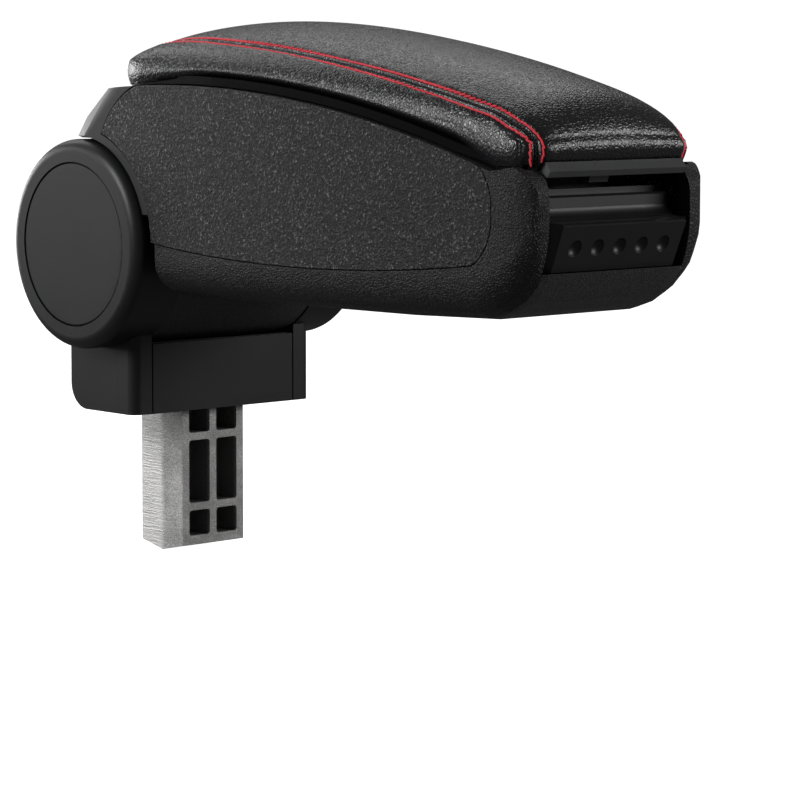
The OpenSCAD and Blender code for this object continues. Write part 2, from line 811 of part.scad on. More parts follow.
// The section is rounder at the rear and boxier at the front
function fullness(x) = 1.44 - 0.62 * clamp01((x - 150) / 105);
function pad_ring(x, d) = let (w = pad_half(x) - d, lo = deck(x) + 0.4, h = crown(x) - d) mirrored(x, concat(
    [[w - tuck, lo]],
    [for (i = [0:8]) let (a = 90 * i / 9) [w * cos(a), lo + tuck_h + (h - tuck_h) * pow(sin(a), fullness(x))]],
    [[w * 0.06, lo + h]]
));
module pad_form(d) {
    skin([for (x = pad_stations) pad_ring(min(max(x, pad_rear + d), pad_front - d), d)]);
}
module cushion_foam() { color([0.85, 0.82, 0.7]) pad_form(cover_t + 0.1); }
module cushion_cover() {
    color(leather) difference() {
        pad_form(0);
        pad_form(cover_t);
    }
}

// Finger bar

pin_end = bar_w / 2 - 8.6;
module latch_pin() { color(steel) rod(bar_px, bar_pz, bar_pin_r, -pin_end, pin_end); }
module latch_bar() {
    color(black) difference() {
        union() {
            side(bar_w) polygon([
                [lid_end + 0.6, bar_z], [bar_front - 1.8, bar_z], [bar_front, bar_z + 2.7],
                [bar_front - 3, bar_z + 6.5], [lid_end + 0.6, bar_z + 6.1]
            ]);
            // Hook behind the bar
            side(12) polygon([
                [keeper_x + run_gap, bar_z - 3.3], [lid_end + 1, bar_z - 3.3], [lid_end + 3, bar_z + 3],
                [lid_end + 0.6, bar_z + 3], [lid_end - 1.4, bar_z - 0.7], [keeper_x + run_gap, bar_z - 0.7]
            ]);
        }
        rod(bar_px, bar_pz, bar_pin_r + fit, -60, 60);
        for (y = [-bracket_y, bracket_y]) translate([lid_end, y - bracket_w / 2 - run_gap, bar_pz - 3])
            cube([bar_px + 3.2 - lid_end, bracket_w + 2 * run_gap, 20]);
        // Pocket for the spring
        translate([bar_px - 3, spring_y[0] - run_gap, bar_pz - 3]) cube([5.6, spring_y[1] - spring_y[0] + 2 * run_gap, 20]);
    }
}

// Torsion spring round the pin, one leg up to the lid
spring_y = [10, 15];
spring_r = 2;
wire_r = 0.35;
spring_turns = 4;
spring_steps = 12;
function coil_point(i) = let (a = 360 * i / spring_steps) [
    bar_px + spring_r * sin(a),
    spring_y[0] + 0.6 + (spring_y[1] - spring_y[0] - 1.2) * i / (spring_turns * spring_steps),
    bar_pz + spring_r * cos(a)
];
module latch_spring() {
    color(steel) skin([for (i = [0:spring_turns * spring_steps]) let (c = coil_point(i), a = 360 * i / spring_steps)
        [for (k = [0:5]) let (b = 60 * k) c + wire_r * [cos(b) * sin(a), sin(b), cos(b) * cos(a)]]]);
}

spigot();
foot_housing();
foot_front_panel();
hinge_cap_left();
hinge_cap_right();
pivot_axle();
axle_nut();
spring_washers();
friction_washers();
foot_screws();
arm_frame();
pivot_bushes();
bottom_shell();
side_shell_left();
side_shell_right();
side_insert_left();
side_insert_right();
rear_cover();
storage_tub();
front_fascia();
frame_screws();
lid_hinge_pin();
lid_base();
cushion_foam();
cushion_cover();
latch_pin();
latch_spring();
latch_bar();
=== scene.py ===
"""Car centre armrest: leather lid, grained arm, satin drums and foot, cast spigot."""
import json
import math

import bpy
import numpy as np
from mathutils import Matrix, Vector


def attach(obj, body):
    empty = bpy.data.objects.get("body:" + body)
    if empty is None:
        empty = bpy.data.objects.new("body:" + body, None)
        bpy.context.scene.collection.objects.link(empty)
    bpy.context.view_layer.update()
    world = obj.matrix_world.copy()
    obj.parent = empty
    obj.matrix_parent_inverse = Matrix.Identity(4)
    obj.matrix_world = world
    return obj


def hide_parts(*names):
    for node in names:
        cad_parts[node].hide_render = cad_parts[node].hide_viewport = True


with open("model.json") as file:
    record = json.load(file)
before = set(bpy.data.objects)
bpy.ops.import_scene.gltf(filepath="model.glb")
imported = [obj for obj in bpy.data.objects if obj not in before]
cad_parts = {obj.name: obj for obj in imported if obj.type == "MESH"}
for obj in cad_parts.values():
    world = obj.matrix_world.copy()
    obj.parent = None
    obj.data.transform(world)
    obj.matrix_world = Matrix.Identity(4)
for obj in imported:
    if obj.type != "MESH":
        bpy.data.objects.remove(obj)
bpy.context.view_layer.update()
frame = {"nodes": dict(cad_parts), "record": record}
nodes = frame["nodes"]
MM = 0.001


# Shader tools

class Wire:
    """A node's output that takes part in sums, products and comparisons."""

    def __init__(self, finish, socket):
        self.finish = finish
        self.socket = socket

    def __add__(self, other):
        return self.finish.math("ADD", self, other)

    __radd__ = __add__

    def __sub__(self, other):
        return self.finish.math("SUBTRACT", self, other)

    def __rsub__(self, other):
        return self.finish.math("SUBTRACT", other, self)

    def __mul__(self, other):
        return self.finish.math("MULTIPLY", self, other)

    __rmul__ = __mul__


class Finish:
    """A material under construction: one Principled shader and the nodes that feed it."""

    def __init__(self, name, **values):
        self.material = bpy.data.materials.new(name)
        self.material.use_nodes = True
        self.tree = self.material.node_tree
        self.shader = self.tree.nodes["Principled BSDF"]
        for socket, value in values.items():
            self.shader.inputs[socket.replace("_", " ")].default_value = value

    def plug(self, socket, value):
        if isinstance(value, Wire):
            self.tree.links.new(value.socket, socket)
        else:
            socket.default_value = value

    def node(self, kind, settings=None, inputs=None, output=0):
        """Adds a node: its settings first, then the values or links of its sockets."""
        made = self.tree.nodes.new("ShaderNode" + kind)
        for key, value in (settings or {}).items():
            setattr(made, key, value)
        for key, value in (inputs or {}).items():
            self.plug(made.inputs[key], value)
        return Wire(self, made.outputs[output])

    def math(self, operation, a, b):
        return self.node("Math", {"operation": operation}, {0: a, 1: b})

    def place(self, scale=(1, 1, 1)):
        """Object coordinates in millimetres, times scale."""
        where = self.node("TexCoord", output="Object")
        size = tuple(1000 * k for k in scale)
        return self.node("VectorMath", {"operation": "MULTIPLY"}, {0: where, 1: size})

    def noise(self, where, scale, detail=2.0, roughness=0.5, distortion=0.0):
        return self.node("TexNoise", {}, {
            "Vector": where, "Scale": scale, "Detail": detail,
            "Roughness": roughness, "Distortion": distortion})

    def cells(self, where, scale, feature="F1"):
        return self.node("TexVoronoi", {"feature": feature}, {
            "Vector": where, "Scale": scale, "Randomness": 1.0}, "Distance")

    def axis(self, where, letter):
        """One of the three coordinates."""
        return self.node("SeparateXYZ", {}, {"Vector": where}, letter)

    def unsigned(self, value):
        """A value without its sign."""
        return self.math("ABSOLUTE", value, 0.0)

    def ramp(self, value, low, high, to_low=0.0, to_high=1.0):
        return self.node("MapRange", {"interpolation_type": "SMOOTHSTEP"}, {
            "Value": value, "From Min": low, "From Max": high,
            "To Min": to_low, "To Max": to_high})

    def blend(self, factor, a, b):
        """Colour a where factor is 0, colour b where it is 1."""
        made = self.tree.nodes.new("ShaderNodeMix")
        made.data_type = "RGBA"
        self.plug(made.inputs["Factor"], factor)
        self.plug(made.inputs[6], a)
        self.plug(made.inputs[7], b)
        return Wire(self, made.outputs[2])

    def warp(self, where, scale, amount):
        """Coordinates pushed about by noise."""
        push = self.node("TexNoise", {}, {"Vector": where, "Scale": scale, "Detail": 1.0}, "Color")
        centred = self.node("VectorMath", {"operation": "SUBTRACT"}, {0: push, 1: (0.5, 0.5, 0.5)})
        scaled = self.node("VectorMath", {"operation": "MULTIPLY"}, {0: centred, 1: (amount,) * 3})
        return self.node("VectorMath", {"operation": "ADD"}, {0: where, 1: scaled})

    def relief(self, height, distance_mm):
        """Bump from a height in 0..1 that stands for distance_mm."""
        bump = self.node("Bump", {}, {
            "Height": height, "Distance": distance_mm * MM, "Strength": 1.0})
        self.plug(self.shader.inputs["Normal"], bump)

    def feed(self, **sockets):
        for socket, value in sockets.items():
            self.plug(self.shader.inputs[socket.replace("_", " ")], value)


def grey(value, warmth=0.0):
    return (value * (1 + warmth), value, value * (1 - warmth), 1.0)


def satin_plastic(name="satin_black_moulding", tone=0.8, gloss=0.4):
    """Smooth satin black moulding."""
    f = Finish(name, Base_Color=grey(0.012), Roughness=0.42, Specular_IOR_Level=gloss)
    where = f.place()
    fine = f.noise(where, 3.0, 3.0, 0.6)
    cloud = f.noise(where, 0.05, 2.0)
    f.feed(Base_Color=f.blend(cloud, grey(0.010 * tone, -0.02), grey(0.016 * tone, -0.02)),
           Roughness=0.36 + cloud * 0.06 + fine * 0.06)
    f.relief(fine, 0.012)
    return f.material


def grained_plastic(name="leather_grain_moulding", size=1.0, tone=0.8):
    """Moulded leather grain: small irregular cells with soft valleys."""
    f = Finish(name, Base_Color=grey(0.015), Roughness=0.5, Specular_IOR_Level=0.42)
    where = f.place()
    bent = f.warp(where, 0.5, 0.9)
    cell = f.cells(bent, 0.72 / size, "DISTANCE_TO_EDGE")
    pad = f.ramp(cell, 0.02, 0.30)
    fine = f.noise(where, 1.9, 3.0, 0.6)
    cloud = f.noise(where, 0.04, 2.0)
    height = pad * 0.75 + fine * 0.45
    f.feed(Base_Color=f.blend(height, grey(0.004 * tone), grey(0.014 * tone)),
           Roughness=0.52 - pad * 0.12 + cloud * 0.08)
    f.relief(height, 0.34 * size)
    return f.material


def pebbled_plastic():
    """Matte charcoal panel with a close pebbled grain and bright specks that are painted glints."""
    f = Finish("pebbled_charcoal_panel", Base_Color=grey(0.02), Roughness=0.55, Specular_IOR_Level=0.4)
    where = f.place()
    bent = f.warp(where, 1.1, 0.8)
    pebble = f.cells(bent, 0.85)
    worm = f.noise(bent, 0.62, 2.0, 0.55, 0.6)
    tops = f.ramp(worm - pebble * 0.35, 0.22, 0.50)
    # Painted glints: bright specks put into the colour, with lower roughness and a little bump
    glint_speck = f.ramp(f.noise(where, 0.95, 1.0), 0.56, 0.70)
    f.feed(Base_Color=f.blend(tops, grey(0.004), f.blend(glint_speck, grey(0.012), grey(0.20))),
           Roughness=0.58 - tops * 0.14 - glint_speck * 0.10)
    f.relief(tops * 0.8 + glint_speck * 0.35, 0.42)
    return f.material


def leather():
    """Semi-gloss black leather with a fine grain that runs across the arm."""
    f = Finish("black_leather", Base_Color=grey(0.012), Roughness=0.28, Specular_IOR_Level=0.6)
    where = f.place((1.0, 0.62, 0.62))
    bent = f.warp(where, 0.6, 0.7)
    cell = f.cells(bent, 0.78, "DISTANCE_TO_EDGE")
    pad = f.ramp(cell, 0.0, 0.3)
    fine = f.noise(bent, 1.6, 3.0, 0.6)
    cloud = f.noise(f.place(), 0.03, 2.0)
    height = pad * 0.7 + fine * 0.45
    f.feed(Base_Color=f.blend(height, (0.004, 0.004, 0.005, 1), (0.011, 0.011, 0.013, 1)),
           Roughness=0.31 - pad * 0.08 + cloud * 0.04)
    f.relief(height, 0.15)
    return f.material


def thread(name, colour, dark, painted_glow=0.0):
    """Twisted sewing thread. Its glow is painted light: emission that brightens it as if it were lit."""
    f = Finish(name, Base_Color=colour, Roughness=0.6, Emission_Color=colour, Emission_Strength=painted_glow)
    where = f.place()
    twist = f.node("TexWave", {"wave_type": "BANDS", "bands_direction": "DIAGONAL"}, {
        "Vector": where, "Scale": 1.3, "Distortion": 1.0, "Detail": 1.0})
    f.feed(Base_Color=f.blend(twist, dark, colour))
    f.relief(twist, 0.12)
    return f.material


# The spigot's faces and the floors of its pockets, from its middle, in millimetres; the pockets get painted
# shade
POCKET_FLOOR, BLADE_FACE = 13.5, 16.2
POCKET_SIDE, BLADE_SIDE = 18.2, 19.2


def cast_metal():
    """Rough die-cast aluminium with drag lines from the die."""
    f = Finish("die_cast_metal", Base_Color=grey(0.5), Metallic=0.8, Roughness=0.42)
    where = f.place()
    along = f.noise(f.place((1.2, 1.2, 0.06)), 1.0, 4.0, 0.65)
    grit = f.noise(where, 1.5, 3.0, 0.6)
    patch = f.noise(where, 0.08, 3.0)
    across = f.noise(f.place((0.06, 0.06, 1.1)), 1.0, 4.0, 0.7)
    # Drag lines on the rear half of the sides, grit on the front half
    rear = f.ramp(f.axis(where, "X"), -3.0, 3.0, 1.0, 0.0)
    height = along * 0.4 + grit * 0.9 + across * rear * 1.6
    # The as-cast pockets get painted shade: a darker grey towards their floors and inner walls
    behind_face = f.ramp(f.unsigned(f.axis(where, "X")), POCKET_FLOOR, BLADE_FACE, 1.0, 0.0)
    inside_wall = f.ramp(f.unsigned(f.axis(where, "Y")), POCKET_SIDE, BLADE_SIDE, 1.0, 0.0)
    pocket_shade = behind_face * inside_wall
    scuffed = f.ramp(patch * 0.3 + across * rear * 0.5 + grit * 0.5, 0.25, 0.65)
    bare = f.blend(scuffed, grey(0.30, 0.01), grey(0.85, 0.01))
    f.feed(Base_Color=f.blend(pocket_shade, bare, grey(0.22)), Roughness=0.40 + grit * 0.2 + patch * 0.1)
    f.relief(height, 0.5)
    return f.material


def plated_steel():
    f = Finish("plated_steel", Base_Color=grey(0.5), Metallic=1.0, Roughness=0.35)
    brush = f.noise(f.place((2.0, 0.1, 2.0)), 1.0, 3.0)
    f.feed(Base_Color=f.blend(brush, grey(0.42), grey(0.58)), Roughness=0.28 + brush * 0.15)
    f.relief(brush, 0.01)
    return f.material


def sintered_bronze():
    f = Finish("sintered_bronze", Base_Color=(0.5, 0.33, 0.15, 1), Metallic=1.0, Roughness=0.45)
    grit = f.noise(f.place(), 4.0, 3.0)
    f.feed(Base_Color=f.blend(grit, (0.42, 0.27, 0.12, 1), (0.58, 0.4, 0.2, 1)),
           Roughness=0.4 + grit * 0.15)
    f.relief(grit, 0.02)
    return f.material


satin = satin_plastic()
bar_grey = satin_plastic("satin_grey_bar", 5.0, 0.6)
# A darker copy of the satin moulding for the lid's edge: painted shade under the leather's hem
shaded_black = satin_plastic("black_moulding_painted_shade", 0.25, 0.04)
grain = grained_plastic()
# A lighter copy of the grain for the bottom shell: painted light on the underside, in place of a lamp from
# below
underside_grain = grained_plastic("underside_grain_painted_light", 0.8, 4.0)
pebble = pebbled_plastic()
hide = leather()
# The red thread glows a little: painted light, though it is no lamp
red = thread("red_thread", (0.80, 0.06, 0.085, 1), (0.50, 0.02, 0.03, 1), 0.28)
black = thread("black_thread", grey(0.016), grey(0.006))
alloy = cast_metal()
steel = plated_steel()
bronze = sintered_bronze()

CAD_FINISH = {
    "spigot": alloy, "foot_housing": satin, "foot_front_panel": satin, "hinge_cap_left": satin,
    "hinge_cap_right": satin, "pivot_axle": steel, "axle_nut": steel, "spring_washers": steel,
    "friction_washers": bronze, "foot_screws": steel, "arm_frame": steel, "pivot_bushes": bronze,
    "bottom_shell": underside_grain, "side_shell_left": grain, "side_shell_right": grain,
    "side_insert_left": pebble, "side_insert_right": pebble, "rear_cover": satin,
    "storage_tub": satin, "front_fascia": satin, "frame_screws": steel, "lid_hinge_pin": steel,
    "lid_base": shaded_black, "cushion_foam": hide, "cushion_cover": hide, "latch_pin": steel,
    "latch_spring": steel, "latch_bar": bar_grey,
}
SLOT_OF = {row["node"]: row["material_slot"] for row in frame["record"]["subparts"]}
for name, node in nodes.items():
    node.data.materials.clear()
    node.data.materials.append(CAD_FINISH[name])


# Form of the arm and the cushion, in millimetres

def clamp01(t):
    return np.clip(t, 0.0, 1.0)


def smooth01(t):
    t = clamp01(t)
    return t * t * (3 - 2 * t)


def ease(t):
    return 1 - np.sqrt(1 - clamp01(t) ** 2)


def bell(distance, width):
    return np.exp(-(distance / width) ** 2)


# The arm, as the CAD source has it: half width, taper and rounded nose
ARM_HALF = 71
TAPER_START, TAPER_LENGTH, TAPER = 60, 226, 14.5
NOSE_START, NOSE_LENGTH, NOSE = 286, 14.5, 13
# The line that the cushion sits on: an arc that ends in a flat
ARC_RADIUS, ARC_X, ARC_Z = 620, 70, -453.5
FLAT_Z = 132
BEND_EASE = 6

# The cushion's ends, the start of its corners, and how it stands to the line under it
PAD_REAR, PAD_FRONT = 18.5, 295.0
REAR_CORNER, FRONT_CORNER = 23.0, 287.0
PAD_INSET, PAD_LEAD = 4.2, 6
REAR_ROUND, REAR_PULL = 30, 24
ABOVE_DECK = 0.3
CLOTH_RISE = 1.9
# An end wall behind this line faces the rear
MIDWAY = 100


def arm_half(x):
    """Half width of the arm."""
    taper = TAPER * clamp01((x - TAPER_START) / TAPER_LENGTH) ** 1.6
    return ARM_HALF - taper - NOSE * ease((x - NOSE_START) / NOSE_LENGTH)


def deck_arc(x):
    return ARC_Z + np.sqrt(ARC_RADIUS ** 2 - (x - ARC_X) ** 2)


def deck(x):
    """Height of the line that the cushion sits on."""
    return np.maximum(FLAT_Z, deck_arc(x))


def deck_eased(x):
    """The same line with its bend rounded off, for the leather over it."""
    arc = deck_arc(x)
    return 0.5 * (arc + FLAT_Z + np.sqrt((arc - FLAT_Z) ** 2 + BEND_EASE ** 2))


def pad_half(x):
    """Half width of the cushion at its rim."""
    return arm_half(x + PAD_LEAD) - PAD_INSET - REAR_PULL * ease((PAD_REAR + REAR_ROUND - x) / REAR_ROUND)


FRONT_X = np.linspace(FRONT_CORNER, PAD_FRONT - 0.5, 120)
REAR_X = np.linspace(PAD_REAR, REAR_CORNER, 120)


# Modelling tools

def only(obj):
    """Makes obj the one selected and active object."""
    bpy.ops.object.select_all(action="DESELECT")
    obj.select_set(True)
    bpy.context.view_layer.objects.active = obj


def apply_modifiers(obj):
    only(obj)
    for modifier in list(obj.modifiers):
        bpy.ops.object.modifier_apply(modifier=modifier.name)


def settle(obj, body, slot, finish, *replaced):
    """Gives a finished piece its material and its body, and hides the nodes that it stands for."""
    obj.data.materials.clear()
    obj.data.materials.append(finish)
    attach(obj, body)
    if replaced:
        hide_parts(*replaced)
    return obj


def body_of_node(name):
    return next(b for b, members in frame["record"]["behaviour"]["bodies"].items() if name in members)


MERGE_MM = 0.01
FLAT_ANGLE = math.radians(0.4)
EDGE_ANGLE = math.radians(38)
SHADE_ANGLE = math.radians(24)
SOFT_SHADE = math.radians(60)


def smoothed(name, edge_mm):
    """A copy of a CAD node with merged vertices, softened edges and smooth shading."""
    copy = bpy.data.objects.new(name + "_skin", nodes[name].data.copy())
    bpy.context.scene.collection.objects.link(copy)
    only(copy)
    bpy.ops.object.mode_set(mode="EDIT")
    bpy.ops.mesh.select_all(action="SELECT")
    bpy.ops.mesh.remove_doubles(threshold=MERGE_MM * MM)
    bpy.ops.mesh.dissolve_limited(angle_limit=FLAT_ANGLE)
    bpy.ops.object.mode_set(mode="OBJECT")
    if name in FORM:
        FORM[name](copy)
    if edge_mm:
        bevel = copy.modifiers.new("soft_edges", "BEVEL")
        bevel.width = edge_mm * MM
        bevel.segments = 2
        bevel.limit_method = "ANGLE"
        bevel.angle_limit = EDGE_ANGLE
        bevel.use_clamp_overlap = True
        bevel.harden_normals = False
        apply_modifiers(copy)
    only(copy)
    bpy.ops.object.shade_smooth_by_angle(angle=SHADE_ANGLE)
    weigh = copy.modifiers.new("flat_faces", "WEIGHTED_NORMAL")
    weigh.keep_sharp = True
    apply_modifiers(copy)
    return settle(copy, body_of_node(name), SLOT_OF[name], CAD_FINISH[name], name)


def reshape(obj, rule):
    """Moves a copy's vertices by a rule that takes and gives places in millimetres."""
    place = np.empty(len(obj.data.vertices) * 3)
    obj.data.vertices.foreach_get("co", place)
    moved = rule(place.reshape(-1, 3) / MM) * MM
    obj.data.vertices.foreach_set("co", moved.ravel())
    obj.data.update()


# The lid's edge stands back by this much at its rear end and at its corners
LID_REAR_INSET, LID_SIDE_INSET = 1.5, 1.6
# Its corners reach from each end to these lines, above the hinge and the latch
LID_CORNER_REAR, LID_CORNER_FRONT = 90, 256
LID_EDGE_Z = 100


def tuck_corners(v):
    """Draws the lid's edge in under the leather at its four corners."""
    out = v.copy()
    nose = 0.5 * np.maximum(v[:, 0] - NOSE_START, 0)
    out[:, 0] = np.maximum(v[:, 0] - nose, PAD_REAR + LID_REAR_INSET)
    limit = pad_half(out[:, 0]) - LID_SIDE_INSET
    ends = (out[:, 0] < LID_CORNER_REAR) | (out[:, 0] > LID_CORNER_FRONT)
    wide = ends & (np.abs(v[:, 1]) > limit) & (v[:, 2] > LID_EDGE_Z)
    out[wide, 1] = np.sign(v[wide, 1]) * limit[wide]
    return out


def combine(copy, tool, operation):
    """Applies a boolean with a closed tool, which is then removed."""
    only(tool)
    bpy.ops.object.mode_set(mode="EDIT")
    bpy.ops.mesh.select_all(action="SELECT")
    bpy.ops.mesh.normals_make_consistent(inside=False)
    bpy.ops.object.mode_set(mode="OBJECT")
    step = copy.modifiers.new("form", "BOOLEAN")
    step.operation = operation
    step.solver = "EXACT"
    step.object = tool
    apply_modifiers(copy)
    bpy.data.objects.remove(tool, do_unlink=True)


# Middle and size of the block that closes a front corner of the foot, in millimetres
CORNER_MIDDLE = (16.8, 52.0, 21.0)
CORNER_BLOCK = (8.4, 10.0, 42.0)


def fill_corners(copy):
    """Closes the foot's two front corners, solid up to the drums."""
    x, y, z = CORNER_MIDDLE
    for side in (-1, 1):
        bpy.ops.object.select_all(action="DESELECT")
        bpy.ops.mesh.primitive_cube_add(size=MM, location=(x * MM, side * y * MM, z * MM))
        block = bpy.context.active_object
        block.scale = CORNER_BLOCK
        bpy.ops.object.transform_apply(location=True, rotation=False, scale=True)
        combine(copy, block, "UNION")


# A side shell's front edge: its foremost line, the heights of its two rounds and their radii
EDGE_X = 298.0
TOP_ROUND_Z, LOW_ROUND_Z = 129.4, 106.0
TOP_ROUND, LOW_ROUND = 14.0, 60.0
# The cutter runs past the shell at the rear, above, below and on both sides
CUTTER_REAR, CUTTER_LOW, CUTTER_HIGH, CUTTER_HALF = -60.0, 20.0, 200.0, 90
CUTTER_CHIN = 270.0


def trim_front_edge(copy):
    """Cuts a side shell's front edge to a curve: round at the top and drawn back towards the chin."""
    top_x, low_x = EDGE_X - TOP_ROUND, EDGE_X - LOW_ROUND
    line = [(CUTTER_REAR, CUTTER_LOW), (CUTTER_REAR, CUTTER_HIGH)]
    line += [(top_x, CUTTER_HIGH), (top_x, TOP_ROUND_Z)]
    line += [(top_x + TOP_ROUND * math.sin(a), TOP_ROUND_Z - TOP_ROUND + TOP_ROUND * math.cos(a))
             for a in np.linspace(0.1, math.pi / 2, 10)]
    line += [(low_x + LOW_ROUND * math.cos(a), LOW_ROUND_Z - LOW_ROUND * math.sin(a))
             for a in np.linspace(0, 0.75, 12)]
    line.append((CUTTER_CHIN, CUTTER_LOW))
    n = len(line)
    verts = [(x * MM, y * MM, z * MM) for y in (-CUTTER_HALF, CUTTER_HALF) for x, z in line]
    faces = [tuple(range(n)), tuple(range(2 * n - 1, n - 1, -1))]
    faces += [(i, n + i, n + (i + 1) % n, (i + 1) % n) for i in range(n)]
    mesh = bpy.data.meshes.new("edge_cutter")
    mesh.from_pydata(verts, [], faces)
    cutter = bpy.data.objects.new("edge_cutter", mesh)
    bpy.context.scene.collection.objects.link(cutter)
    combine(copy, cutter, "INTERSECT")


FORM = {
    "foot_housing": fill_corners,
    "side_shell_left": trim_front_edge,
    "side_shell_right": trim_front_edge,
    "lid_base": lambda copy: reshape(copy, tuck_corners),
}
# Edge softening of each finished copy, in millimetres
SMOOTH = {
    "foot_housing": 0.3, "foot_front_panel": 0.4, "hinge_cap_left": 0.0, "hinge_cap_right": 0.0,
    "bottom_shell": 0.3, "side_shell_left": 1.0, "side_shell_right": 1.0,
    "side_insert_left": 0.7, "side_insert_right": 0.7, "rear_cover": 0.4,
    "front_fascia": 1.4, "latch_bar": 0.6, "lid_base": 0.4, "spigot": 0.4,
}
for name, edge in SMOOTH.items():
    smoothed(name, edge)


# How far the hem hangs over the lid's edge at its corners and along the front
CORNER_DROOP, FRONT_DROOP = 3.3, 0.9
# Where the droop starts: from the side, from the front corners' inner end, from the rear
DROOP_X, DROOP_Y, DROOP_REAR = 250, 43.2, 100
# Height of the rim over the hem, and what it gains towards the rear
RIM, REAR_RIM = 4.4, 3.4
# Height of the crown over the hem, and what it gains towards the front
CROWN, FRONT_CROWN = 26.2, 2.9


def hem_line(x, y):
    """Height of the leather's lower edge, which hangs over the lid's edge at its corners."""
    y = np.abs(y)
    side = smooth01((x - DROOP_X) / 18) * smooth01((y - DROOP_Y) / 1.2)
    rear = smooth01((DROOP_REAR - x) / 58)
    front = smooth01((x - NOSE_START) / 6) * FRONT_DROOP
    return deck(x) + ABOVE_DECK - np.maximum(CORNER_DROOP * np.maximum(side, rear), front)


def tuck(x):
    """Height of the side at the rim, over the lid."""
    return RIM + REAR_RIM * smooth01((62 - x) / 42)


def front_line(y):
    """Plan view of the front end, with its two corners."""
    y = np.abs(y)
    bow = 0.5 * clamp01(y / pad_half(PAD_FRONT)) ** 2
    return np.minimum(np.interp(y, pad_half(FRONT_X)[::-1], FRONT_X[::-1]), PAD_FRONT - bow)


def rear_line(y):
    """Plan view of the rear end."""
    return np.interp(np.abs(y), pad_half(REAR_X), REAR_X)


def along(u, y):
    """Rows are straight in the middle of the cushion and bow to the outline at its ends."""
    front = clamp01((u - 255) / (PAD_FRONT - 255))
    rear = clamp01((60 - u) / (60 - PAD_REAR))
    return u - front * (PAD_FRONT - front_line(y)) + rear * (rear_line(y) - PAD_REAR)


def rise(x, y):
    """Height of the top over the cushion's lower edge."""
    straight = pad_half(np.minimum(x, 280))
    across = clamp01(1 - (y / straight) ** 2)
    boxy = 0.72 - 0.31 * smooth01((x - 140) / 125) - 0.18 * smooth01((110 - x) / 70)
    full = CROWN - CLOTH_RISE + FRONT_CROWN * smooth01((x - 165) / 110)
    rear = clamp01((90 - x) / (90 - PAD_REAR)) ** 3.8
    front = clamp01((x - front_line(y) + 30) / 30) ** 3.2
    return tuck(x) + (full - tuck(x)) * (1 - rear) * (1 - 0.84 * front) * across ** boxy


# The seam's course: rows, and how far it runs from the middle there
SEAM_X = [15, 60, 224, 255, 270, 283, 289, 295]
SEAM_Y = [46, 50, 50, 48.8, 47.8, 47.9, 47.2, 46.4]


def seam_half(u):
    """Distance of each seam from the middle."""
    return np.interp(u, SEAM_X, SEAM_Y)


def section(u):
    """One row over the top, from the right rim to the left rim, and how far along it each seam is."""
    half = pad_half(along(u, 99.0))
    y = half * np.sin(np.linspace(-np.pi / 2, np.pi / 2, 301))
    x = along(u, y)
    points = np.stack([x, y, deck_eased(x) + ABOVE_DECK + rise(x, y)], 1)
    length = np.concatenate([[0], np.cumsum(np.linalg.norm(np.diff(points, axis=0), axis=1))])
    seam = np.interp([-seam_half(u), seam_half(u)], y, length)
    return points, length, seam


# Places of the columns: dense beside the seams, in millimetres from them
NEAR_SEAM = np.array([0.35, 0.7, 1.05, 1.4, 1.75, 2.1, 2.55, 3.0, 3.45, 4.0, 4.8, 6.0])


def columns(length, seam, near, side_count, top_count):
    """Distances along one row for every column."""
    right, left, end = seam[0], seam[1], length[-1]
    reach = near[-1] if len(near) else 0.0
    squeeze = min(1.0, 0.72 * right / reach) if reach else 1.0
    close = near * squeeze
    out = np.linspace(0, right - reach * squeeze, side_count + 1)
    side = np.concatenate([out, right - close[::-1][1:], [right]]) if reach else np.append(out[:-1], right)
    middle = np.linspace(right + reach, left - reach, top_count + 1)
    top = np.concatenate([right + close[:-1] / squeeze, middle, left - close[:-1][::-1] / squeeze]) \
        if reach else middle[1:-1]
    far = end - side[::-1]
    return np.concatenate([side, top, far])


# How far the hem stands back from the rim, less at the corners, and the bulge over it
HEM, HEM_CORNERS = 2.3, 1.7
BULGE = 1.0
# Keeps the points at the foot of an end wall apart
SPLAY = 0.8


